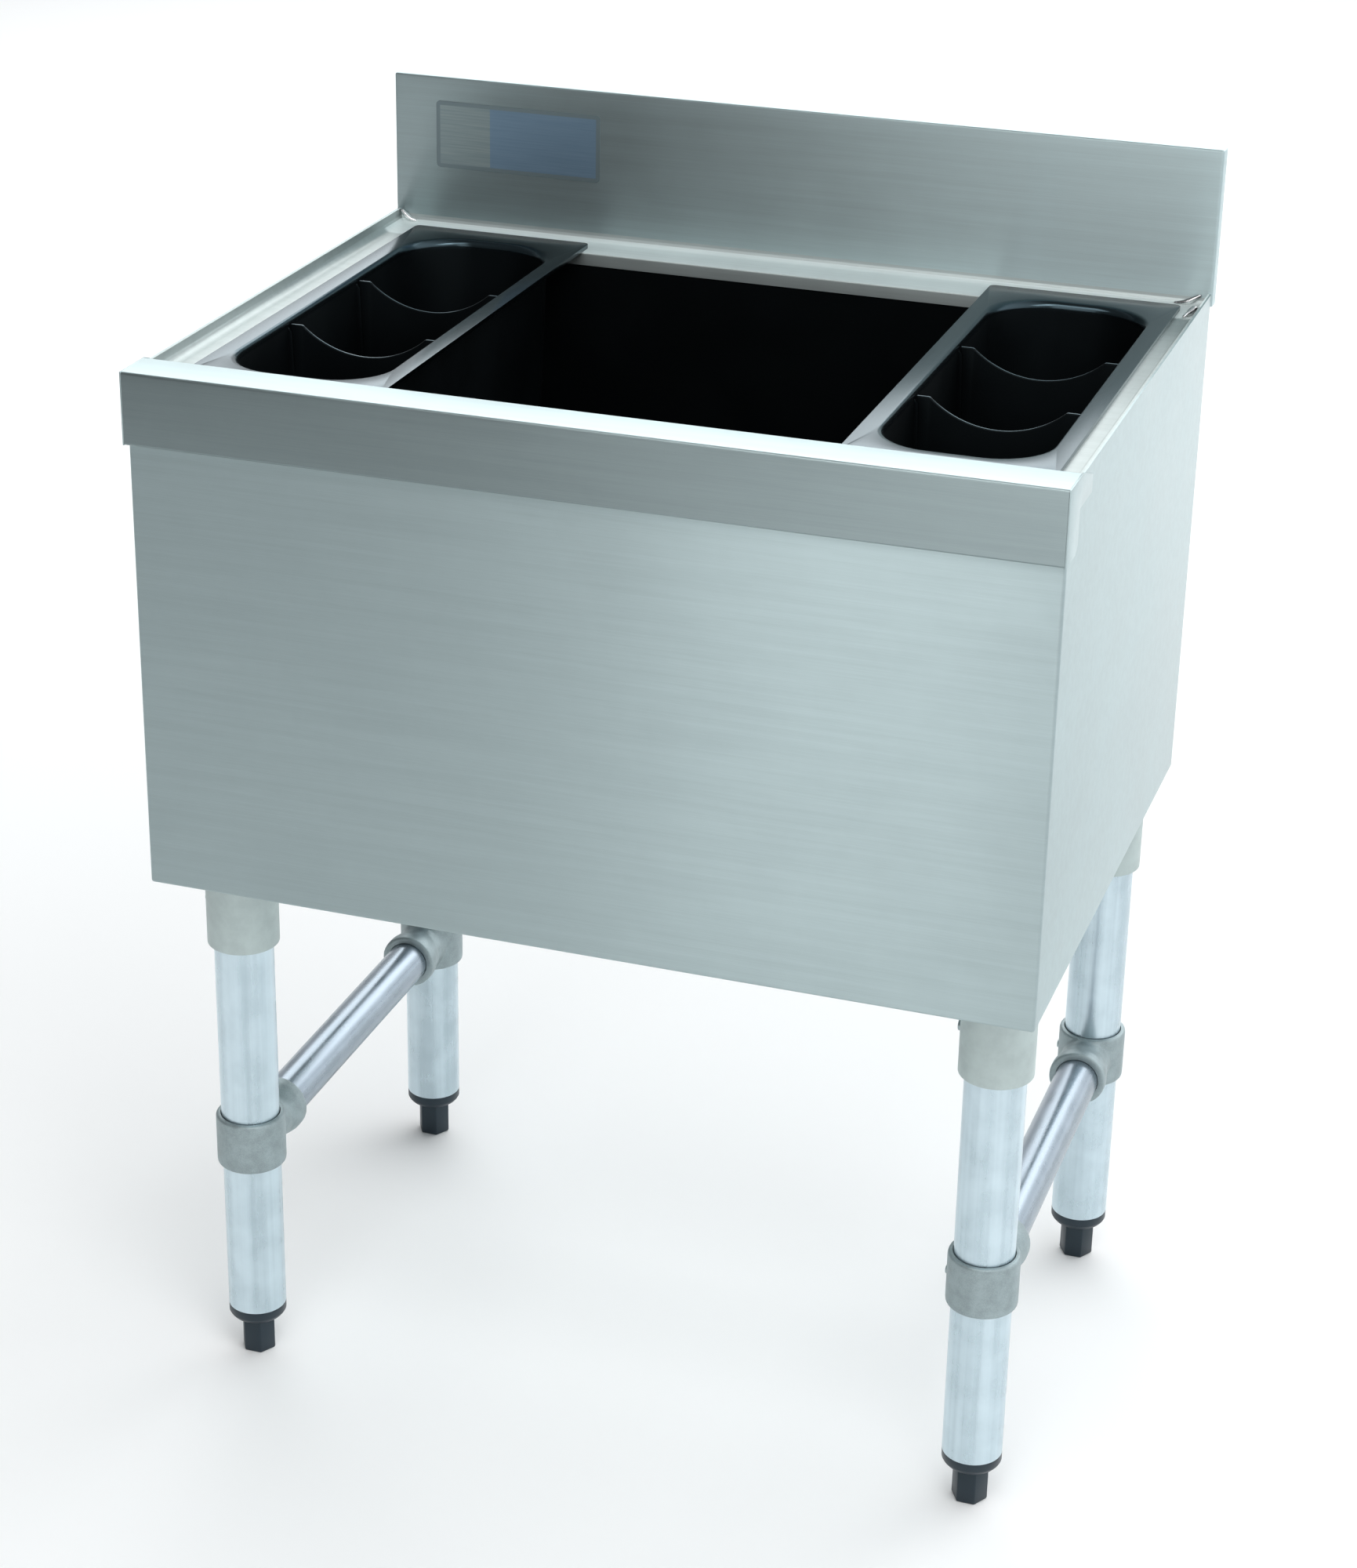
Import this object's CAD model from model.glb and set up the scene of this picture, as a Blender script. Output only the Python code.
"""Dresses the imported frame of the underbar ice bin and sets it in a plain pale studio.

Metres, in the frame of the CAD: the origin is on the floor under the middle of
the unit, +X is its right end and -Y its front.
"""

from math import cos, pi, radians

import bmesh
import bpy
from mathutils import Matrix, Vector


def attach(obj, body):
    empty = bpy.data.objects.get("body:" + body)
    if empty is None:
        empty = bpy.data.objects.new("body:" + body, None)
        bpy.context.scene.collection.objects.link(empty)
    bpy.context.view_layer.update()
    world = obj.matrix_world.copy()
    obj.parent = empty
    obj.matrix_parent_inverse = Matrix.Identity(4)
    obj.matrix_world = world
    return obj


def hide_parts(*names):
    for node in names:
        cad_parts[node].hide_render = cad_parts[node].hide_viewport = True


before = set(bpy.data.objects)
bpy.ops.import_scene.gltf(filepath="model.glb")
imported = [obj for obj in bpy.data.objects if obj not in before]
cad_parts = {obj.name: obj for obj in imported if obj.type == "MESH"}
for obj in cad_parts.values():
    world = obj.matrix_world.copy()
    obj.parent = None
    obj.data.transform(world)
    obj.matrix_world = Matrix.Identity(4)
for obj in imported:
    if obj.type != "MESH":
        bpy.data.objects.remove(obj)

for spare in ("Cube", "Light", "Camera"):
    if spare in bpy.data.objects:
        bpy.data.objects.remove(bpy.data.objects[spare])
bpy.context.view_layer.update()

# Modelling settings: a circular bevel, lengths that count as the same or as meeting, and the part of
# a unit vector from which it counts as along an axis
ROUND = 0.5
SAME = 2e-5
MEETING = 2e-6
ALONG = 0.9
UP = (0, 0, 1)

# Sheet metal
SHEET = 0.0012
BEND = 0.002
SIDE, BODY_FRONT, BODY_BACK, BODY_BOTTOM = 0.304, -0.2225, 0.215, 0.3995
DECK_TOP, RIM_TOP = 0.746, 0.7555
RAIL_FRONT, RAIL_BACK, RAIL_BOTTOM, RAIL_TOP = -0.2285, -0.1945, 0.7095, 0.758
RAIL_END_SHAPE = (
    (0, 0), (0.034, 0), (0.062, 0.0095), (0.062, 0.021), (0.030, 0.021), (0.030, 0.0435), (0.025, 0.0485),
    (0, 0.0485))
COVE_SIDE, COVE_TOP = 0.3016, 0.7506
SPLASH_SIDE, SPLASH_FRONT, SPLASH_BACK = 0.305, 0.217, 0.2285
SPLASH_FOOT, SPLASH_TOP = 0.7465, 0.856
SPLASH_RETURN, SPLASH_NOTCH_SIDE, SPLASH_NOTCH_TOP = 0.844, 0.3030, 0.7508

# The well's mouth in the deck, which the holders share, and limits just outside its edge
MOUTH_Y, MOUTH_WIDTH, MOUTH_LENGTH, MOUTH_CORNER = 0.00425, 0.5542, 0.3615, 0.020
MOUTH_SIDE, MOUTH_FRONT, MOUTH_BACK = 0.2773, -0.1767, 0.1852

# Bottle holders and dividers
TUB_X, RIGHT_TUB_X, TUB_TOP, TUB_FLOOR = -0.2145, 0.2181, 0.749, 0.522
TUB_WIDTH, TUB_LENGTH, FLANGE_WIDTH, FLANGE_LENGTH = 0.108, 0.341, 0.135, 0.392
RIB_INNER, RIB_OUTER, RIB_BOTTOM, RIB_TOP = 0.05163, 0.0546, 0.634, 0.744
DIVIDER_X, DIVIDER_Y, THUMB_HEIGHT, THUMB_RADIUS = -0.2181, -0.05258, 0.79464, 0.06664

# Legs, given from the floor
LEG_X, LEG_FRONT, LEG_BACK, LEG_RADIUS = 0.268, -0.159, 0.1765, 0.02065
SLEEVE_BOTTOM, SLEEVE_TOP, FLAT_TOP, FLAT_SIDE = 0.3325, 0.4065, 0.4095, 0.028
SOCKET_SCREW_Z = 0.3625
TEE_BOTTOM, TEE_MIDDLE, TEE_TOP = 0.1575, 0.177, 0.1965
WELD_Z, WELD_SIDES = 0.4058, 72
HEX_TOP = 0.027
STUD_BOTTOM, STUD_TOP = 0.0265, 0.0868


# Modelling

def clear():
    """Leave edit mode with nothing selected."""
    if bpy.context.object and bpy.context.object.mode != "OBJECT":
        bpy.ops.object.mode_set(mode="OBJECT")
    bpy.ops.object.select_all(action="DESELECT")


def only(piece):
    """Select one piece and make it the active one."""
    clear()
    piece.select_set(True)
    bpy.context.view_layer.objects.active = piece


def edit(piece):
    """Open a piece for editing with everything in it selected."""
    only(piece)
    bpy.ops.object.mode_set(mode="EDIT")
    bpy.ops.mesh.select_mode(type="VERT")
    bpy.ops.mesh.select_all(action="SELECT")


def opened(name):
    """Name the primitive just added, set its place into its mesh and open it."""
    piece = bpy.context.object
    piece.name = piece.data.name = name
    bpy.ops.object.transform_apply(location=True, rotation=True, scale=True)
    edit(piece)
    return piece


def block(name, low, high):
    """A box between two corners, open for editing."""
    low, high = Vector(low), Vector(high)
    clear()
    bpy.ops.mesh.primitive_cube_add(size=1, location=(low + high) / 2)
    bpy.context.object.scale = high - low
    return opened(name)


def panel(name, centre, width, length):
    """A level rectangle, open for editing."""
    clear()
    bpy.ops.mesh.primitive_plane_add(size=1, location=centre)
    bpy.context.object.scale = (width, length, 1)
    return opened(name)


def bar(name, start, end, radius, sides, ends="NGON"):
    """A round bar between two points, open for editing."""
    start, end = Vector(start), Vector(end)
    turn = (end - start).to_track_quat("Z", "Y").to_euler()
    clear()
    bpy.ops.mesh.primitive_cylinder_add(
        vertices=sides, radius=radius, depth=(end - start).length,
        end_fill_type=ends, location=(start + end) / 2, rotation=turn)
    return opened(name)


def traced(name, points):
    """A line drawn through points, open for editing."""
    points = [Vector(point) for point in points]
    clear()
    bpy.ops.mesh.primitive_plane_add(size=0.001, location=points[0])
    piece = opened(name)
    bpy.ops.mesh.merge(type="CENTER")
    for here, there in zip(points, points[1:]):
        bpy.ops.mesh.extrude_vertices_move(TRANSFORM_OT_translate={"value": there - here})
    bpy.ops.mesh.select_all(action="SELECT")
    return piece


def at(part):
    """The middle of a face, edge or vertex."""
    if isinstance(part, bmesh.types.BMFace):
        return part.calc_center_median()
    if isinstance(part, bmesh.types.BMEdge):
        return (part.verts[0].co + part.verts[1].co) / 2
    return part.co


def run(edge):
    """The direction of an edge."""
    return (edge.verts[1].co - edge.verts[0].co).normalized()


def near(a, b):
    """Whether two lengths are the same, but for rounding."""
    return abs(a - b) < SAME


def pick(kind, test):
    """Select the faces, edges or vertices of the open piece that pass a test."""
    bpy.ops.mesh.select_mode(type=kind)
    bpy.ops.mesh.select_all(action="DESELECT")
    mesh = bmesh.from_edit_mesh(bpy.context.object.data)
    parts = {"FACE": mesh.faces, "EDGE": mesh.edges, "VERT": mesh.verts}[kind]
    for part in [part for part in parts if test(part)]:
        part.select_set(True)
    mesh.select_flush_mode()
    bmesh.update_edit_mesh(bpy.context.object.data)


def remove(test):
    """Delete the faces that pass a test, with what only they hold."""
    pick("FACE", test)
    bpy.ops.mesh.delete(type="FACE")


def move(x, y, z):
    """Move what is selected."""
    bpy.ops.transform.translate(value=(x, y, z))


def pull(x, y, z):
    """Extrude what is selected."""
    bpy.ops.mesh.extrude_region_move(TRANSFORM_OT_translate={"value": (x, y, z)})


def split(point, normal):
    """Cut the whole open piece along a plane and keep both sides."""
    bpy.ops.mesh.select_all(action="SELECT")
    bpy.ops.mesh.bisect(plane_co=point, plane_no=normal)


def bevel(radius, segments, affect):
    bpy.ops.mesh.bevel(offset=radius, segments=segments, profile=ROUND, affect=affect, clamp_overlap=False)


def fold(radius, segments, test):
    """Round the edges that pass a test."""
    pick("EDGE", test)
    bevel(radius, segments, "EDGES")


def rounded(radius, segments):
    """Round the corners of the selected flat outline."""
    bevel(radius, segments, "VERTICES")


def close(piece):
    """Merge what meets and turn the faces outwards."""
    edit(piece)
    bpy.ops.mesh.remove_doubles(threshold=MEETING)
    bpy.ops.mesh.normals_make_consistent(inside=False)
    clear()


def show(test, direction):
    """Turn the open piece's faces one way, so that the faces that pass a test look along a direction."""
    bpy.ops.mesh.select_all(action="SELECT")
    bpy.ops.mesh.normals_make_consistent(inside=False)
    mesh = bmesh.from_edit_mesh(bpy.context.object.data)
    if next(face for face in mesh.faces if test(face)).normal.dot(Vector(direction)) < 0:
        bpy.ops.mesh.flip_normals()


def use(piece, kind, **settings):
    """Add a modifier to a piece and apply it."""
    only(piece)
    modifier = piece.modifiers.new(kind.title(), kind)
    for name, value in settings.items():
        setattr(modifier, name, value)
    bpy.ops.object.modifier_apply(modifier=modifier.name)


def wall(piece, thickness, even=True):
    """Give an open skin its thickness, behind the side that its faces show."""
    use(piece, "SOLIDIFY", thickness=thickness, offset=-1, use_even_offset=even)


def soften(piece, width, segments=2, angle=40):
    """Break the sharp edges of a finished shape."""
    use(piece, "BEVEL", width=width, segments=segments, limit_method="ANGLE",
        angle_limit=radians(angle), use_clamp_overlap=True, harden_normals=False)


def combine(piece, tool, operation):
    """Join a tool to a piece, or cut it away, and remove the tool."""
    clear()
    use(piece, "BOOLEAN", object=tool, operation=operation, solver="EXACT")
    bpy.data.objects.remove(tool)


def copied(piece, name, offset=(0, 0, 0), mirror=(1, 1, 1), about=(0, 0, 0)):
    """A copy with its own mesh, mirrored about a point and then moved."""
    only(piece)
    bpy.ops.object.duplicate()
    twin = bpy.context.object
    twin.name = twin.data.name = name
    edit(twin)
    bpy.ops.transform.resize(value=mirror, center_override=about)
    move(*offset)
    if mirror[0] * mirror[1] * mirror[2] < 0:
        bpy.ops.mesh.normals_make_consistent(inside=False)
    clear()
    return twin


def joined(name, pieces):
    """Several shapes as one piece."""
    clear()
    for piece in pieces:
        piece.select_set(True)
    bpy.context.view_layer.objects.active = pieces[0]
    bpy.ops.object.join()
    pieces[0].name = pieces[0].data.name = name
    return pieces[0]


def dressed(piece, finish, slot, body, *nodes, angle=35):
    """Shade a piece, paint it, and let it stand for its nodes on its body."""
    only(piece)
    bpy.ops.object.shade_smooth_by_angle(angle=radians(angle))
    piece.data.materials.clear()
    piece.data.materials.append(finish)
    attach(piece, body)
    if nodes:
        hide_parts(*nodes)
    return piece


# Finishes

class Field:
    """A value in a material, which Python's operators work on."""

    def __init__(self, paint, socket):
        self.paint, self.socket = paint, socket

    def math(self, operation, *values):
        inputs = dict(enumerate(values))
        return self.paint.node("Math", {"operation": operation}, inputs)

    def __add__(self, other):
        return self.math("ADD", self, other)

    def __sub__(self, other):
        return self.math("SUBTRACT", self, other)

    def __rsub__(self, other):
        return self.math("SUBTRACT", other, self)

    def __mul__(self, other):
        return self.math("MULTIPLY", self, other)

    def __gt__(self, other):
        return self.math("GREATER_THAN", self, other)

    def __abs__(self):
        return self.math("ABSOLUTE", self)

    __radd__ = __add__
    __rmul__ = __mul__

    def between(self, low, high, start=0.0, end=1.0):
        """This value stretched from low..high to start..end, smooth at both ends."""
        return self.paint.node("MapRange", {"interpolation_type": "SMOOTHSTEP"},
                               {0: self, 1: low, 2: high, 3: start, 4: end})


class Nodes:
    """A node tree, all of whose nodes come from one method."""

    def __init__(self, owner, shader):
        owner.use_nodes = True
        self.tree = owner.node_tree
        self.shader = self.tree.nodes[shader]

    def node(self, kind, settings={}, inputs={}, out=0):
        """Add a node, with its settings first and then the values of its sockets."""
        node = self.tree.nodes.new("ShaderNode" + kind)
        for key, value in settings.items():
            setattr(node, key, value)
        for key, value in inputs.items():
            self.feed(node.inputs[key], value)
        return Field(self, node.outputs[out])

    def feed(self, socket, value):
        if isinstance(value, Field):
            self.tree.links.new(value.socket, socket)
        else:
            socket.default_value = value

    def set(self, name, value):
        self.feed(self.shader.inputs[name], value)

    def axes(self, vector):
        return [self.node("SeparateXYZ", inputs={0: vector}, out=axis) for axis in range(3)]


class Paint(Nodes):
    """A material with its principled shader."""

    def __init__(self, name, **constants):
        self.material = bpy.data.materials.new(name)
        super().__init__(self.material, "Principled BSDF")
        for key, value in constants.items():
            self.set(key.replace("_", " "), value)

    def place(self):
        """The point on the piece, in its own coordinates."""
        return self.node("TexCoord", out="Object")

    def noise(self, place, scale, stretch=(1, 1, 1), detail=2.0, rough=0.5):
        """Cloudy variation from 0 to 1, finer along an axis the more it is stretched."""
        grid = self.node("VectorMath", {"operation": "MULTIPLY"}, {0: place, 1: stretch})
        inputs = {"Vector": grid, "Scale": scale, "Detail": detail, "Roughness": rough}
        return self.node("TexNoise", {}, inputs)

    def mix(self, factor, first, second):
        """Two colours mixed."""
        return self.node("Mix", {"data_type": "RGBA"}, {0: factor, 6: first, 7: second}, out=2)

    def scaled(self, colour, factor):
        """A colour made brighter or darker."""
        grid = self.node("CombineXYZ", {}, {0: factor, 1: factor, 2: factor})
        return self.node("VectorMath", {"operation": "MULTIPLY"}, {0: colour, 1: grid})

    def cover(self, shader, factor):
        """Lay another shader over the material's own by a factor."""
        own = Field(self, self.shader.outputs[0])
        both = self.node("MixShader", {}, {0: factor, 1: own, 2: shader})
        self.feed(self.tree.nodes["Material Output"].inputs["Surface"], both)

    def relief(self, height, strength, distance):
        return self.node("Bump", {}, {"Height": height, "Strength": strength, "Distance": distance})

    def bump(self, height, strength, distance):
        self.set("Normal", self.relief(height, strength, distance))


def grey(value, tint=(1.0, 1.0, 1.0)):
    return (value * tint[0], value * tint[1], value * tint[2], 1.0)


STEEL_TINT = (0.83, 1.0, 1.02)
SLATE_TINT = (0.72, 0.92, 1.0, 1.0)
SLATE_GLOSS = (0.058, 0.086, 0.100, 1)

# The usual spread of a noise, and how far a normal leans before a face counts as looking one way
CLOUDY = (0.3, 0.7)
LOOKING = (0.3, 0.8)

# How finely steel's lines repeat along X, Y and Z
BRUSHED_ALONG_X, BRUSHED_ALONG_Y, BANDED = (14, 1500, 1500), (1500, 14, 1500), (5, 180, 180)

# Where the rear ledge begins and the backsplash's frame lies
REAR_LEDGE = (0.18, 0.186)
PLATE_X, PLATE_Z, FRAME_X, FRAME_Z, FRAME_EDGE = -0.209, 0.814, 0.0605, 0.0215, (-0.0004, 0.0004)
PLATE_SILVER_END = -0.2305
FLANGE_HEIGHTS = (0.741, 0.748)


def brushed_steel(name, shade, rough, spread=0.0, front=1.0, top=1.0, rear=1.0, left=1.0, tint=STEEL_TINT):
    """Sheet steel with fine brush lines along X, and along Y on its ends, which spread light across them.

    Faces that look forwards, upwards or left, or lie at the rear, can be finished darker or brighter.
    """
    paint = Paint(name, Metallic=1.0, Anisotropic=spread, Anisotropic_Rotation=0.25)
    place = paint.place()
    facing = paint.axes(paint.node("NewGeometry", out="True Normal"))
    end = abs(facing[0]) > 0.7
    lengthwise = paint.noise(place, 1.0, BRUSHED_ALONG_X, 2.0, 0.6)
    crosswise = paint.noise(place, 1.0, BRUSHED_ALONG_Y, 2.0, 0.6)
    grain = lengthwise * (1 - end) + crosswise * end
    bands = paint.noise(place, 1.0, BANDED, 3.0, 0.6)
    cloud = paint.noise(place, 9.0, detail=4.0, rough=0.6)
    tone = grain.between(0.25, 0.75) * 0.3 + bands.between(*CLOUDY) * 0.3 + cloud.between(*CLOUDY) * 0.4
    forward = (0 - facing[1]).between(*LOOKING)
    upward = facing[2].between(*LOOKING)
    behind = paint.axes(place)[1].between(*REAR_LEDGE)
    leftward = (0 - facing[0]).between(0.1, 0.5)
    level = 1 + forward * (front - 1) + upward * (top - 1) + upward * behind * (rear - 1)
    level = level + leftward * (left - 1)
    metal = 1 - upward * behind * (0.8 if rear > 1 else 0)
    steel = paint.mix(tone, grey(shade * 0.9, tint), grey(shade * 1.1, tint))
    finish = {
        "Base Color": paint.scaled(steel, level),
        "Roughness": grain.between(0.2, 0.8, rough - 0.03, rough + 0.03)
        + cloud.between(0.35, 0.7, -0.02, 0.03),
        "Normal": paint.relief(grain, 0.06, 0.00004),
    }
    for name, value in finish.items():
        paint.set(name, value)
    if spread > 0:
        paint.cover(paint.node("BsdfPrincipled", {}, finish | {"Metallic": metal}), upward)
    return paint.material


def galvanised(name, along, low, high):
    """Drawn tube with a bright zinc skin, faint streaks and soft flats along its axis."""
    paint = Paint(name, Metallic=0.9)
    place = paint.place()
    fine = [260, 260, 260]
    coarse = [70, 70, 70]
    fine[along], coarse[along] = 4, 1.5
    streaks = paint.noise(place, 1.0, tuple(fine), 3.0, 0.55)
    flats = paint.noise(place, 1.0, tuple(coarse), 2.0)
    bloom = paint.noise(place, 45.0, detail=3.0)
    tone = streaks * 0.2 + flats * 0.5 + bloom * 0.3
    paint.set("Base Color", paint.mix(tone.between(*CLOUDY), low, high))
    paint.set("Roughness", tone.between(*CLOUDY, 0.22, 0.36))
    paint.bump(flats, 0.45, 0.0006)
    return paint.material


def cast_metal(name):
    """Sand-cast aluminium: warm grey, dull and slightly grainy."""
    paint = Paint(name, Metallic=0.7)
    place = paint.place()
    sand = paint.noise(place, 1400.0, detail=2.0, rough=0.6)
    patch = paint.noise(place, 120.0, detail=3.0)
    tone = sand * 0.45 + patch * 0.55
    paint.set("Base Color", paint.mix(tone.between(*CLOUDY), (0.26, 0.315, 0.325, 1), (0.38, 0.455, 0.47, 1)))
    paint.set("Roughness", tone.between(*CLOUDY, 0.42, 0.58))
    paint.bump(sand * 0.6 + patch * 0.4, 0.35, 0.0003)
    return paint.material


def moulded(name, colour, rough, shine=0.5, polish=None):
    """Moulded plastic with a faint texture and handling marks, and a gloss where it is told."""
    paint = Paint(name)
    paint.set("Specular IOR Level", shine)
    paint.set("Specular Tint", SLATE_TINT)
    place = paint.place()
    if polish:
        gloss = paint.node("BsdfPrincipled", {}, {
            "Base Color": SLATE_GLOSS, "Metallic": 1.0, "Roughness": 0.2})
        paint.cover(gloss, polish(paint, place))
    texture = paint.noise(place, 900.0, detail=2.0)
    cloud = paint.noise(place, 14.0, detail=4.0)
    low = tuple(channel * 0.85 for channel in colour) + (1.0,)
    high = tuple(min(1.0, channel * 1.25) for channel in colour) + (1.0,)
    paint.set("Base Color", paint.mix(cloud.between(*CLOUDY), low, high))
    paint.set("Roughness", cloud.between(*CLOUDY, rough - 0.04, rough + 0.07))
    paint.bump(texture, 0.25, 0.00012)
    return paint.material


def on_flange(paint, place):
    """The holders' flanges and the roll of their mouths."""
    return paint.axes(place)[2].between(*FLANGE_HEIGHTS)


def on_top(paint, place):
    """Faces that look up."""
    return paint.axes(paint.node("NewGeometry", out="True Normal"))[2].between(0.7, 0.95)


def sleeve_zinc(name):
    """Plain galvanised sleeve: pale, greenish and matte."""
    paint = Paint(name, Metallic=0.6)
    place = paint.place()
    bloom = paint.noise(place, 60.0, detail=4.0, rough=0.6)
    paint.set("Base Color", paint.mix(bloom.between(*CLOUDY), (0.44, 0.51, 0.505, 1), (0.52, 0.60, 0.59, 1)))
    paint.set("Roughness", bloom.between(*CLOUDY, 0.5, 0.6))
    paint.bump(bloom, 0.1, 0.0002)
    return paint.material


def foam():
    """Rigid insulating foam, pale yellow with open cells."""
    paint = Paint("insulating foam", Roughness=0.9)
    place = paint.place()
    cells = paint.node("TexVoronoi", {}, {"Vector": place, "Scale": 350.0})
    paint.set("Base Color", paint.mix(cells.between(0.1, 0.7), (0.62, 0.52, 0.30, 1), (0.80, 0.72, 0.48, 1)))
    paint.bump(cells, 0.5, 0.0008)
    return paint.material


def foil():
    """The blank plate: its left third plain silver, the rest blue-grey, with a fine frame."""
    paint = Paint("plate foil", Metallic=0.55)
    place = paint.place()
    x, _, z = paint.axes(place)
    left = 1 - (x > PLATE_SILVER_END)
    frame_x = (abs(x - PLATE_X) - FRAME_X).between(*FRAME_EDGE)
    frame_z = (abs(z - PLATE_Z) - FRAME_Z).between(*FRAME_EDGE)
    edge = (frame_x + frame_z).between(0.0, 1.0)
    grain = paint.noise(place, 1.0, (20, 600, 900), 2.0)
    blue = paint.mix(grain.between(0.2, 0.8), (0.15, 0.235, 0.32, 1), (0.18, 0.27, 0.36, 1))
    silver = paint.mix(grain.between(0.2, 0.8), (0.20, 0.26, 0.27, 1), (0.27, 0.33, 0.335, 1))
    paint.set("Base Color", paint.mix(edge, paint.mix(left, blue, silver), (0.17, 0.22, 0.235, 1)))
    paint.set("Roughness", grain.between(0.2, 0.8, 0.34, 0.44))
    return paint.material


def polished_weld():
    """Bright welds, dressed and a little uneven."""
    paint = Paint("polished weld", Metallic=1.0)
    place = paint.place()
    ripple = paint.noise(place, 420.0, detail=3.0)
    paint.set("Base Color", paint.mix(ripple.between(*CLOUDY), grey(0.66), grey(0.8)))
    paint.set("Roughness", ripple.between(*CLOUDY, 0.16, 0.3))
    paint.bump(ripple, 0.5, 0.0005)
    return paint.material


sheet_steel = brushed_steel("brushed sheet steel", shade=0.50, rough=0.40, spread=0.88)
splash_steel = brushed_steel("splash sheet steel", shade=0.62, rough=0.48, spread=0.92)
rail_steel = brushed_steel("rail sheet steel", shade=0.50, rough=0.42, spread=0.92, front=0.66, top=1.15)
ledge_steel = brushed_steel("ledge sheet steel", shade=0.50, rough=0.50, spread=0.3, rear=1.75, left=0.2,
                            tint=(0.90, 1.0, 0.99))
dull_steel = brushed_steel("plain sheet steel", shade=0.46, rough=0.40)
drain_steel = brushed_steel("drain steel", shade=0.55, rough=0.26)
screw_steel = brushed_steel("screw steel", shade=0.42, rough=0.35)
leg_zinc = galvanised("galvanised leg tube", along=2, low=(0.44, 0.54, 0.59, 1), high=(0.66, 0.78, 0.84, 1))
rail_zinc = galvanised("galvanised rail tube", along=1, low=(0.25, 0.30, 0.34, 1), high=(0.37, 0.43, 0.49, 1))
socket_zinc = sleeve_zinc("galvanised socket")
cast_grey = cast_metal("cast aluminium")
slate_black = (0.0016, 0.0022, 0.0026)
holder_plastic = moulded("slate black holder plastic", slate_black, rough=0.45, shine=0.12, polish=on_flange)
divider_plastic = moulded("black divider plastic", slate_black, rough=0.45, shine=0.12, polish=on_top)
liner_plastic = moulded("black liner plastic", (0.0012, 0.0016, 0.0018), rough=0.6, shine=0.08)
foot_plastic = moulded("slate foot plastic", (0.013, 0.019, 0.027), rough=0.40)
gasket_rubber = moulded("gasket rubber", (0.012, 0.012, 0.012), rough=0.6)
weld_bright = polished_weld()
plate_foil = foil()
pale_foam = foam()


# Sheet metal

# Body skin: front and both ends in one sheet, with a hem turned in at the bottom
HEM = 0.0092
skin = block("body_skin", (-SIDE, BODY_FRONT, BODY_BOTTOM), (SIDE, BODY_BACK, RIM_TOP))
pick("FACE", lambda f: f.normal.z < -ALONG)
bpy.ops.mesh.inset(thickness=HEM, depth=0)
bpy.ops.mesh.delete(type="FACE")
remove(lambda f: f.normal.z > ALONG or f.normal.y > ALONG or (f.normal.z < -ALONG and at(f).y > 0.2))
split((0, 0, DECK_TOP), UP)
fold(BEND, 4, lambda e: (abs(run(e).z) > ALONG and near(at(e).y, BODY_FRONT))
     or (near(at(e).z, BODY_BOTTOM) and (near(at(e).y, BODY_FRONT) or near(abs(at(e).x), SIDE))))
remove(lambda f: f.normal.y < -0.95 and at(f).z > DECK_TOP + 0.001)
wall(skin, SHEET)
dressed(skin, sheet_steel, "stainless_sheet", "chassis", "body_wrap")

# Rolled front rail
rail = block("rolled_front_rail", (-SIDE, RAIL_FRONT, RAIL_BOTTOM), (SIDE, RAIL_BACK, RAIL_TOP))
remove(lambda f: abs(f.normal.x) > ALONG)
split((0, 0, DECK_TOP), UP)
remove(lambda f: f.normal.y > ALONG and at(f).z < DECK_TOP)
split((0, BODY_FRONT, 0), (0, 1, 0))
remove(lambda f: f.normal.z < -ALONG and at(f).y > BODY_FRONT)
fold(BEND, 5, lambda e: abs(run(e).x) > ALONG and (near(at(e).y, RAIL_FRONT) or near(at(e).y, RAIL_BACK))
     and (near(at(e).z, RAIL_TOP) or near(at(e).z, RAIL_BOTTOM)))
wall(rail, SHEET)
dressed(rail, rail_steel, "stainless_sheet", "chassis", "front_rail")

# Rail end plates
left_end = traced("rail_end_plate_left", [(-SIDE, RAIL_FRONT + y, RAIL_TOP - z) for y, z in RAIL_END_SHAPE])
bpy.ops.mesh.edge_face_add()
pull(-0.001, 0, 0)
close(left_end)
soften(left_end, 0.0003)
right_end = copied(left_end, "rail_end_plate_right", mirror=(-1, 1, 1))
dressed(left_end, sheet_steel, "stainless_sheet", "chassis", "rail_end_left")
dressed(right_end, sheet_steel, "stainless_sheet", "chassis", "rail_end_right")

# Deck: ledges round the bin mouth, coved up to both rims and the backsplash
WIDEST_COVE, REAR_COVE, MOUTH_ROLL = 0.0075, 0.58, 0.16


def at_mouth(edge):
    """Whether an edge belongs to the well's mouth."""
    return abs(at(edge).x) < MOUTH_SIDE and MOUTH_FRONT < at(edge).y < MOUTH_BACK


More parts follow.
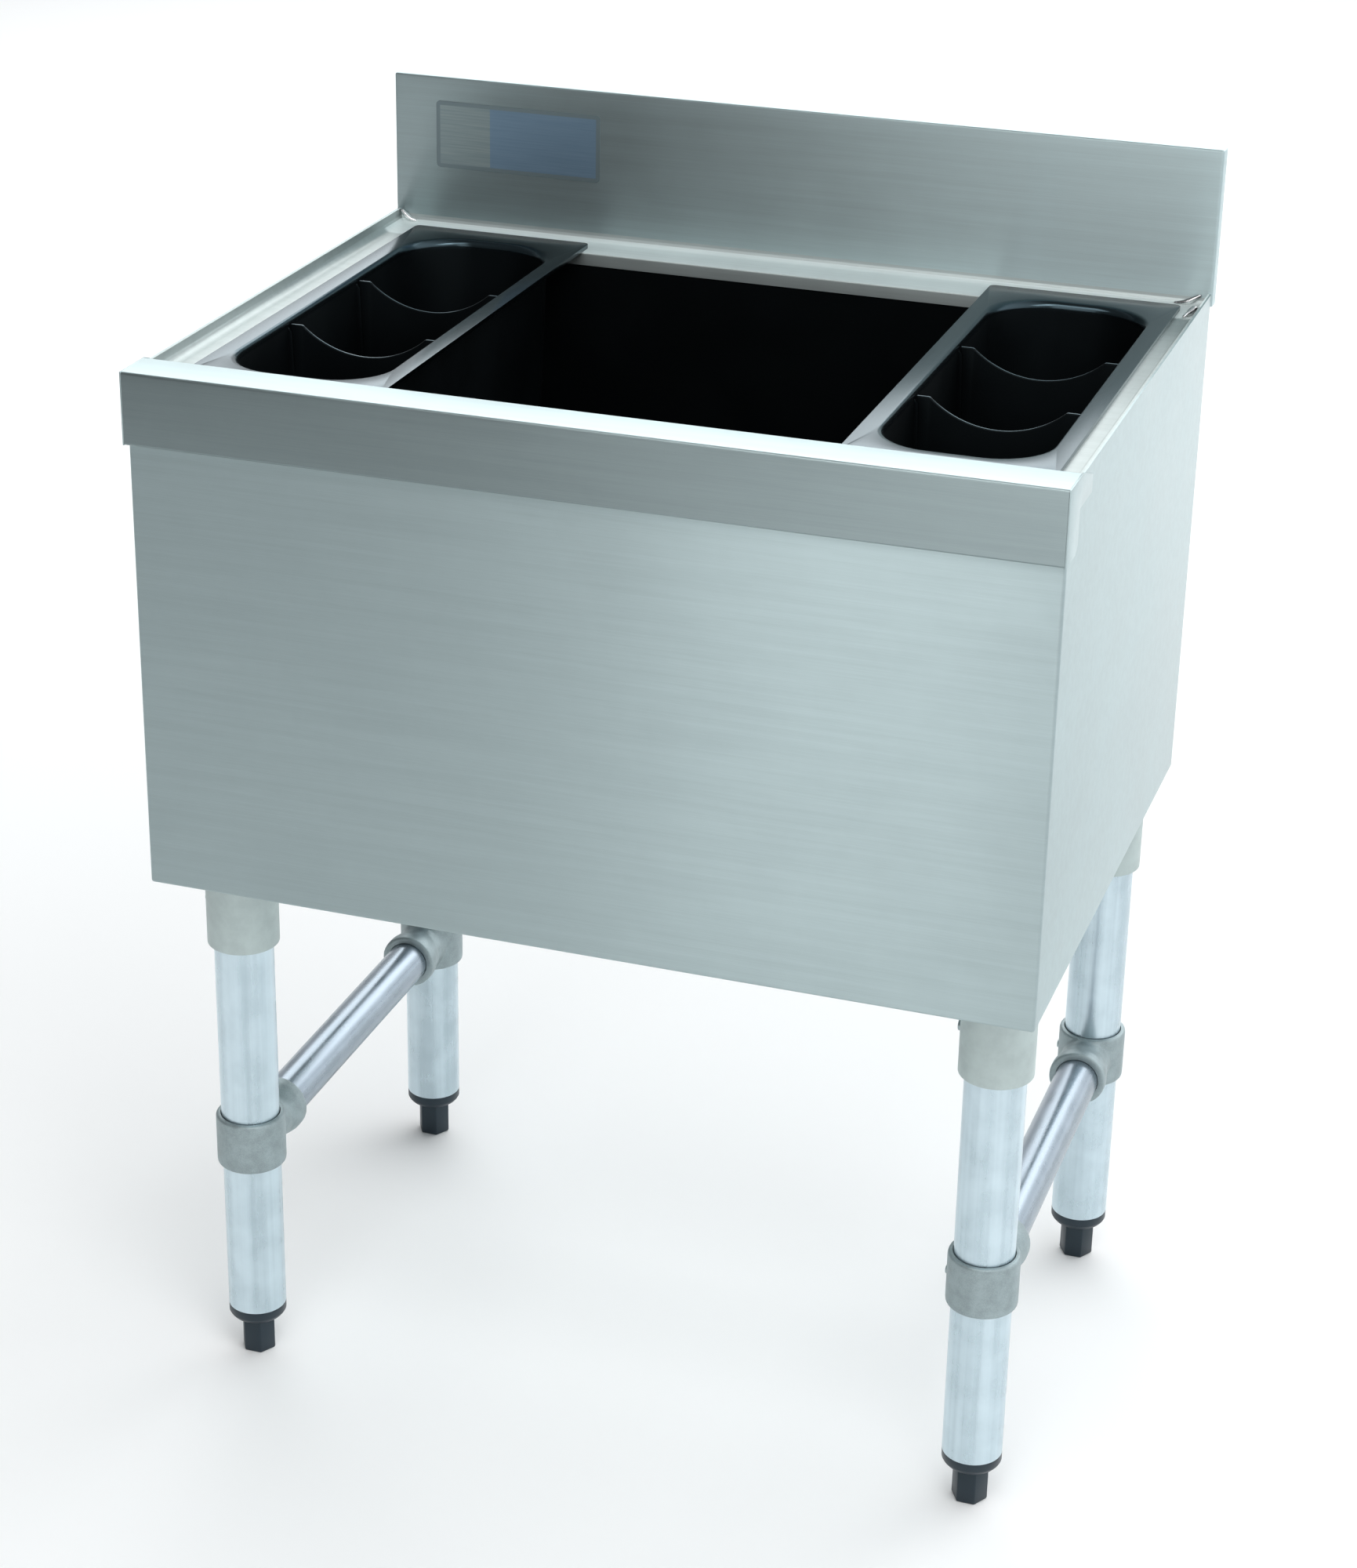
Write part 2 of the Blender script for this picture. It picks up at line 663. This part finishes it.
deck = panel("bin_deck", (0, 0.01125, DECK_TOP), 0.6032, 0.4115)
bpy.ops.mesh.inset(thickness=0.012, depth=0)
bpy.ops.mesh.delete(type="FACE")
bpy.ops.mesh.primitive_plane_add(size=1, location=(0, MOUTH_Y, DECK_TOP))
bpy.ops.transform.resize(value=(MOUTH_WIDTH, MOUTH_LENGTH, 1), center_override=(0, MOUTH_Y, DECK_TOP))
rounded(MOUTH_CORNER, 8)
pick("FACE", lambda f: abs(at(f).x) < 0.01 and abs(at(f).y - MOUTH_Y) < 0.01)
bpy.ops.mesh.delete(type="ONLY_FACE")
pick("EDGE", lambda e: abs(at(e).x) < 0.2898 and -0.1827 < at(e).y < 0.2052)
bpy.ops.mesh.fill(use_beauty=True)
pick("EDGE", lambda e: near(abs(at(e).x), COVE_SIDE) or near(at(e).y, SPLASH_FRONT))
pull(0, 0, 0.0095)
pick("EDGE", lambda e: e.is_boundary and at_mouth(e))
pull(0, 0, -0.0092)
show(lambda f: abs(f.normal.z) > ALONG, UP)
pick("EDGE", lambda e: near(abs(at(e).x), COVE_SIDE) and near(at(e).z, DECK_TOP))
bpy.ops.transform.edge_bevelweight(value=1.0)
pick("EDGE", lambda e: near(at(e).y, SPLASH_FRONT) and near(at(e).z, DECK_TOP))
bpy.ops.transform.edge_bevelweight(value=REAR_COVE)
pick("EDGE", lambda e: near(at(e).z, DECK_TOP) and at_mouth(e)
     and any(abs(f.normal.z) < 0.1 for f in e.link_faces))
bpy.ops.transform.edge_bevelweight(value=MOUTH_ROLL)
use(deck, "BEVEL", width=WIDEST_COVE, segments=5, limit_method="WEIGHT", use_clamp_overlap=False)
edit(deck)
split((0, 0, COVE_TOP), UP)
remove(lambda f: near(at(f).y, SPLASH_FRONT) and at(f).z > COVE_TOP)
wall(deck, SHEET, even=False)
dressed(deck, ledge_steel, "stainless_sheet", "chassis", "deck")

# Backsplash, returned at its top and ends
splash = block("backsplash_sheet", (-SPLASH_SIDE, SPLASH_FRONT, SPLASH_FOOT),
               (SPLASH_SIDE, SPLASH_BACK, SPLASH_TOP))
split((0, 0, SPLASH_RETURN), UP)
remove(lambda f: f.normal.z < -ALONG or (f.normal.y > ALONG and at(f).z < SPLASH_RETURN))
split((0, 0, SPLASH_NOTCH_TOP), UP)
split((SPLASH_NOTCH_SIDE, 0, 0), (1, 0, 0))
split((-SPLASH_NOTCH_SIDE, 0, 0), (1, 0, 0))
remove(lambda f: f.normal.y < -ALONG and at(f).z < SPLASH_NOTCH_TOP and abs(at(f).x) < SPLASH_NOTCH_SIDE)


def splash_bend(edge):
    """Whether an edge is one of the bends round the backsplash's front."""
    front, end = near(at(edge).y, SPLASH_FRONT), near(abs(at(edge).x), SPLASH_SIDE)
    along_top = near(at(edge).z, SPLASH_TOP) and abs(run(edge).z) < 0.1
    return (along_top and (front or end)) or (front and end)


fold(0.0016, 4, splash_bend)
wall(splash, SHEET)
dressed(splash, splash_steel, "stainless_sheet", "chassis", "backsplash")


def weld(name, points, radii):
    """A dressed bead through points, swelling and thinning along its way."""
    bead = traced(name, points)
    only(bead)
    skin = bead.modifiers.new("Skin", "SKIN")
    for vertex, radius in zip(bead.data.skin_vertices[0].data, radii):
        vertex.radius = (radius, radius)
    bpy.ops.object.modifier_apply(modifier=skin.name)
    use(bead, "SUBSURF", levels=2)
    close(bead)
    dressed(bead, weld_bright, "stainless_sheet", "chassis", angle=80)


# Dressed welds in the deck's two rear corners
weld("corner_weld_left", [
    (-0.3010, 0.2152, 0.7552), (-0.2985, 0.2150, 0.7530), (-0.2955, 0.2148, 0.7502),
    (-0.2915, 0.2146, 0.7482), (-0.2880, 0.2148, 0.7474)], [0.0012, 0.0020, 0.0022, 0.0018, 0.0010])
weld("corner_weld_right", [
    (0.2785, 0.2152, 0.7474), (0.2835, 0.2148, 0.7478), (0.2885, 0.2146, 0.7492), (0.2930, 0.2148, 0.7520),
    (0.2975, 0.2152, 0.7548)], [0.0010, 0.0018, 0.0023, 0.0018, 0.0009])
weld("cove_weld_right", [
    (0.2915, 0.1835, 0.7468), (0.2925, 0.1885, 0.7474), (0.2945, 0.1935, 0.7482), (0.2975, 0.1985, 0.7502)],
    [0.0014, 0.0030, 0.0026, 0.0012])

# Blank plate on the backsplash
plate = block("blank_plate", (-0.2725, 0.2167, 0.7895), (-0.1455, 0.217, 0.8385))
fold(0.003, 5, lambda e: abs(run(e).y) > 0.9)
clear()
dressed(plate, plate_foil, "label_foil", "chassis", "label_plate")


# Bottle holders

def bottle_holder(name, x, y):
    """A flanged tub with a rolled mouth, leaning walls and a rounded floor."""
    tub = panel(name, (x, y, TUB_TOP), TUB_WIDTH, TUB_LENGTH)
    rounded(0.042, 10)
    bpy.ops.mesh.select_all(action="SELECT")
    bpy.ops.mesh.inset(thickness=0.00793, depth=0)
    move(0, 0, -0.227)
    fold(0.012, 5, lambda e: near(at(e).z, TUB_FLOOR))
    pick("EDGE", lambda e: False)
    bpy.ops.mesh.primitive_plane_add(size=1, location=(x, y, TUB_TOP))
    bpy.ops.transform.resize(value=(FLANGE_WIDTH, FLANGE_LENGTH, 1), center_override=(x, y, TUB_TOP))
    rounded(0.004, 10)
    pick("FACE", lambda f: near(at(f).z, TUB_TOP) and len(f.verts) > 10 and f.calc_area() > 0.01)
    bpy.ops.mesh.delete(type="ONLY_FACE")
    pick("EDGE", lambda e: near(at(e).z, TUB_TOP))
    bpy.ops.mesh.bridge_edge_loops()
    show(lambda f: near(at(f).z, TUB_FLOOR), UP)
    fold(0.005, 5, lambda e: near(at(e).z, TUB_TOP) and not e.is_boundary
         and any(abs(f.normal.z) < 0.5 for f in e.link_faces))
    wall(tub, 0.003)
    soften(tub, 0.0007, 2, 50)
    ribs = []
    for hand in (-1, 1):
        for row in (-0.05683, 0.05683):
            for side in (-0.00265, 0.00265):
                low, high = sorted((x + hand * RIB_INNER, x + hand * RIB_OUTER))
                middle = y + row + side
                rib = block("rib", (low, middle - 0.001, RIB_BOTTOM), (high, middle + 0.001, RIB_TOP))
                pick("VERT", lambda v: v.co.z < 0.64)
                move(-hand * 0.00384, 0, 0)
                pick("VERT", lambda v: v.co.z > 0.74 and near(abs(v.co.x - x), RIB_INNER))
                move(0, 0, -0.004)
                clear()
                soften(rib, 0.0005, 2, 40)
                ribs.append(rib)
    return joined(name, [tub] + ribs)


left_tub = bottle_holder("bottle_tub_left", TUB_X, MOUTH_Y)
right_tub = copied(left_tub, "bottle_tub_right", offset=(0.4326, 0.0055, 0))
dressed(left_tub, holder_plastic, "black_holder_plastic", "holder_left", "bottle_holder_left")
dressed(right_tub, holder_plastic, "black_holder_plastic", "holder_right", "bottle_holder_right")

# Dividers: tapered plates with a dip for the fingers
divider = block("divider", (-0.27156, -0.05383, TUB_FLOOR), (-0.16464, -0.05133, 0.745))
pick("VERT", lambda v: v.co.z < 0.53)
bpy.ops.transform.resize(value=(0.8544, 1, 1), center_override=(DIVIDER_X, DIVIDER_Y, TUB_FLOOR))
fold(0.014, 7, lambda e: abs(run(e).y) > ALONG and near(at(e).z, TUB_FLOOR))
thumb_front, thumb_back = (DIVIDER_X, -0.07, THUMB_HEIGHT), (DIVIDER_X, -0.03, THUMB_HEIGHT)
thumb = bar("thumb_dip", thumb_front, thumb_back, THUMB_RADIUS, 128)
combine(divider, thumb, "DIFFERENCE")
soften(divider, 0.0009, 3, 30)
for name, x, y in (
        ("front_left", TUB_X, DIVIDER_Y), ("rear_left", TUB_X, 0.06108),
        ("front_right", RIGHT_TUB_X, -0.04708), ("rear_right", RIGHT_TUB_X, 0.06658)):
    leaf = copied(divider, "divider_leaf_" + name, offset=(x - DIVIDER_X, y - DIVIDER_Y, 0))
    dressed(leaf, divider_plastic, "black_holder_plastic", "divider_" + name, "divider_" + name)
bpy.data.objects.remove(divider)


# Legs

home = Vector((-LEG_X, LEG_FRONT, 0))
places = {
    "front_left": ((0, 0, 0), (1, 1, 1)),
    "front_right": ((2 * LEG_X, 0, 0), (1, 1, 1)),
    "back_left": ((0, LEG_BACK - LEG_FRONT, 0), (1, -1, 1)),
    "back_right": ((2 * LEG_X, LEG_BACK - LEG_FRONT, 0), (1, -1, 1)),
}


def spread(piece, title, finish, slot, node, body="chassis"):
    """Copy a piece made at the front left leg to all four legs."""
    for name, (offset, mirror) in places.items():
        twin = copied(piece, f"{title}_{name}", offset, mirror, (home.x, home.y, 0))
        dressed(twin, finish, slot, body.format(name), node + name)
    bpy.data.objects.remove(piece)


def spot(x, y, z):
    """A point given from the front left leg's axis and the floor."""
    return home + Vector((x, y, z))


def hexagonal(name, start, end, flats):
    """A hexagon bar between two heights or depths, open for editing."""
    return bar(name, start, end, flats / 2 / cos(pi / 6), 6)


# Sockets under the bin: a sleeve on a square plate, with a weld round its top
sleeve = bar("sleeve", spot(0, 0, SLEEVE_BOTTOM), spot(0, 0, SLEEVE_TOP), 0.025, 96, "NOTHING")
clear()
wall(sleeve, 0.00415)
soften(sleeve, 0.0009, 3, 50)
hole = bar("screw_hole", spot(-0.015, 0, SOCKET_SCREW_Z), spot(-0.03, 0, SOCKET_SCREW_Z), 0.004, 32)
combine(sleeve, hole, "DIFFERENCE")
flat = block("flat", spot(-FLAT_SIDE, -FLAT_SIDE, SLEEVE_TOP), spot(FLAT_SIDE, FLAT_SIDE, FLAT_TOP))
fold(0.005, 4, lambda e: abs(run(e).z) > ALONG)
clear()
soften(flat, 0.0005, 2, 50)
clear()
bpy.ops.mesh.primitive_torus_add(location=spot(0, 0, WELD_Z), major_radius=0.0253, minor_radius=0.0021,
                                 major_segments=WELD_SIDES, minor_segments=10)
bead = opened("bead")


def ripple(vertex):
    """Whether a vertex is in every third ring of the bead, which stands a little proud."""
    turn = (vertex.co - home).xy.angle_signed(Vector((1, 0)))
    return int(turn / (2 * pi / WELD_SIDES) + 500) % 3 == 0


pick("VERT", ripple)
bpy.ops.transform.resize(value=(1.012, 1.012, 1), center_override=spot(0, 0, WELD_Z))
clear()
socket = joined("socket", [sleeve, flat, bead])
spread(socket, "socket", socket_zinc, "galvanised_tube", "leg_socket_")

# Cast tees that clamp the cross rails to the legs
tee = bar("tee", spot(0, 0, TEE_BOTTOM), spot(0, 0, TEE_TOP), 0.0245, 96)
fold(0.0016, 3, lambda e: near(at(e).z, TEE_BOTTOM) or near(at(e).z, TEE_TOP))
clear()
neck = bar("neck", spot(0, 0.010, TEE_MIDDLE), spot(0, 0.050, TEE_MIDDLE), 0.0185, 72)
for step in (0.0300, 0.0350, 0.0415):
    split(spot(0, step, TEE_MIDDLE), (0, 1, 0))
for start, growth in ((0.034, 1.068), (0.040, 1.066)):
    pick("VERT", lambda v: v.co.y > home.y + start)
    bpy.ops.transform.resize(value=(growth, 1, growth), center_override=spot(0, 0.05, TEE_MIDDLE))
clear()
combine(tee, neck, "UNION")
use(tee, "REMESH", mode="VOXEL", voxel_size=0.0011)
use(tee, "SMOOTH", factor=0.5, iterations=7)
for start, end, radius in (
        (spot(0, 0, 0.15), spot(0, 0, 0.205), 0.02125),
        (spot(0, 0.028, TEE_MIDDLE), spot(0, 0.056, TEE_MIDDLE), 0.016175),
        (spot(-0.015, 0, TEE_MIDDLE), spot(-0.03, 0, TEE_MIDDLE), 0.003)):
    combine(tee, bar("bore", start, end, radius, 72), "DIFFERENCE")
spread(tee, "cast_tee", cast_grey, "cast_fitting", "rail_tee_")


def set_screw(name, z, radius, reach):
    """A set screw with a hexagon recess, its point against the leg."""
    screw = bar(name, spot(-LEG_RADIUS, 0, z), spot(-reach, 0, z), radius, 32)
    fold(radius * 0.15, 2, lambda e: near(at(e).x, home.x - reach))
    clear()
    recess = hexagonal("recess", spot(0.003 - reach, 0, z), spot(-0.002 - reach, 0, z), radius)
    combine(screw, recess, "DIFFERENCE")
    return screw


for title, node, height, radius, reach in (
        ("socket_set_screw", "socket_screw_", SOCKET_SCREW_Z, 0.00395, 0.0265),
        ("tee_set_screw", "tee_screw_", TEE_MIDDLE, 0.00295, 0.0255)):
    spread(set_screw(title, height, radius, reach), title, screw_steel, "screw_steel", node)

# Inserts: a band flush with the leg, then a rounded taper down to the foot
bore = (0.00643, HEX_TOP)
taper = [(0.0125, 0.0270), (0.0146, 0.0274), (0.0166, 0.0284), (0.0183, 0.0297), (0.0197, 0.0313),
         (0.02055, 0.0329)]
band = [(LEG_RADIUS, 0.0331), (LEG_RADIUS, 0.0389), (0.0204, 0.0391)]
plug = [(0.0189, 0.0391), (0.0189, 0.0665), (0.0183, 0.0671), (0.00643, 0.0671)]
insert = traced("insert", [spot(x, 0, z) for x, z in [bore] + taper + band + plug + [bore]])
bpy.ops.mesh.spin(steps=72, angle=2 * pi, center=home, axis=(0, 0, 1))
close(insert)
spread(insert, "leg_insert", foot_plastic, "slate_plastic", "foot_insert_")

# Feet: a hexagon to turn by hand on a threaded stud
foot = hexagonal("foot", spot(0, 0, 0), spot(0, 0, HEX_TOP), 0.022)
bpy.ops.transform.rotate(value=pi / 6, orient_axis="Z", center_override=home)
fold(0.0007, 2, lambda e: abs(run(e).z) > ALONG)
fold(0.0014, 2, lambda e: near(at(e).z, 0) and not abs(run(e).z) > ALONG)
fold(0.0005, 2, lambda e: near(at(e).z, HEX_TOP))
clear()
pitch, valley, crest = 0.00195, 0.0055, 0.00635
steps = 28
thread = traced("thread", [
    (valley, 0, 0), (crest, 0, pitch * 0.42), (crest, 0, pitch * 0.58), (valley, 0, pitch)])
clear()
use(thread, "SCREW", axis="Z", angle=2 * pi, screw_offset=pitch, steps=steps, render_steps=steps,
    iterations=34, use_merge_vertices=True)
edit(thread)
move(home.x, home.y, 0.0240)
close(thread)
edit(thread)
for height, lower in ((STUD_BOTTOM, True), (STUD_TOP, False)):
    bpy.ops.mesh.select_all(action="SELECT")
    bpy.ops.mesh.bisect(plane_co=(0, 0, height), plane_no=UP, clear_inner=lower, clear_outer=not lower)
    pick("EDGE", lambda e: e.is_boundary and abs(at(e).z - height) < 0.0001)
    bpy.ops.mesh.edge_face_add()
close(thread)
foot = joined("foot", [foot, thread])
spread(foot, "levelling_foot", foot_plastic, "slate_plastic", "foot_", body="foot_{}")


# Carried-over nodes

carried = {
    dull_steel: ["back_panel", "bottom_pan", "leg_channel_left", "leg_channel_right"],
    leg_zinc: ["leg_" + name for name in places],
    rail_zinc: ["cross_rail_left", "cross_rail_right"],
    liner_plastic: ["ice_liner"],
    pale_foam: ["foam_insulation"],
    drain_steel: ["drain_body", "drain_strainer", "drain_locknut"],
    gasket_rubber: ["drain_gasket"],
}
for finish, names in carried.items():
    for name in names:
        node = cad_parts[name]
        node.data.materials.clear()
        node.data.materials.append(finish)


# Studio

def lamp(name, place, aim, width, height, watts):
    """A soft area lamp that the camera doesn't see."""
    light = bpy.data.lights.new(name, "AREA")
    light.shape, light.size, light.size_y, light.energy = "RECTANGLE", width, height, watts
    holder = bpy.data.objects.new(name, light)
    bpy.context.scene.collection.objects.link(holder)
    holder.location = place
    holder.rotation_euler = (Vector(aim) - Vector(place)).to_track_quat("-Z", "Y").to_euler()
    holder.visible_camera = False


lamp("back_softbox", (0, 2.8, 2.7), aim=(0, 1.6, 0), width=5.6, height=3.0, watts=100)
lamp("backdrop_wash", (0, 5.6, 3.2), aim=(0, 5.8, 0), width=6.0, height=2.0, watts=46)
lamp("front_softbox", (-0.15, -3.0, 1.15), aim=(-0.15, 0, 0.8), width=1.0, height=1.9, watts=10.5)
lamp("right_fill", (0.95, 1.8, 0.22), aim=(0.3, 0.1, 0.35), width=1.3, height=0.4, watts=0.5)
lamp("floor_wash_right", (0.6, -1.0, 1.6), aim=(0.1, -1.1, 0), width=0.8, height=0.8, watts=7.4)
lamp("floor_wash_middle", (0, -0.9, 1.5), aim=(0, -0.9, 0), width=0.8, height=0.8, watts=4.8)

# The room: dim all round, and lighter towards the right
bpy.context.scene.world = bpy.context.scene.world or bpy.data.worlds.new("studio")
room = Nodes(bpy.context.scene.world, "Background")
sideways, away = room.axes(room.node("TexCoord", out="Generated"))[:2]
room.set("Color", (0.97, 1.0, 1.03, 1))
room.set("Strength", (sideways > 0) * sideways * 1.35 + (away > 0) * away * 0.55 + 0.15)

floor_paint = Paint("pale studio floor", Roughness=0.95)
floor_paint.set("Base Color", (0.96, 0.965, 0.96, 1))
floor_paint.set("Specular IOR Level", 0.0)
ground = panel("studio_floor", (0, 6, 0), 40, 40)
clear()
ground.data.materials.append(floor_paint.material)

camera = bpy.data.objects.new("camera", bpy.data.cameras.new("camera"))
bpy.context.scene.collection.objects.link(camera)
bpy.context.scene.camera = camera
FOCAL_PIXELS, PICTURE_WIDTH, SENSOR_WIDTH = 4320.98, 1731, 36
camera.data.sensor_fit, camera.data.sensor_width = "HORIZONTAL", SENSOR_WIDTH
camera.data.lens = FOCAL_PIXELS / PICTURE_WIDTH * SENSOR_WIDTH
right = Vector((0.94724634, 0.32001018, 0.01782838))
up = Vector((-0.14699459, 0.38433469, 0.91141617))
back = -Vector((-0.28481038, 0.86595631, -0.41109939))
camera.matrix_world = Matrix.LocRotScale(
    Vector((0.67129, -2.05643, 1.40247)), Matrix((right, up, back)).transposed().to_quaternion(), None)

bpy.context.scene.view_settings.view_transform = "Standard"
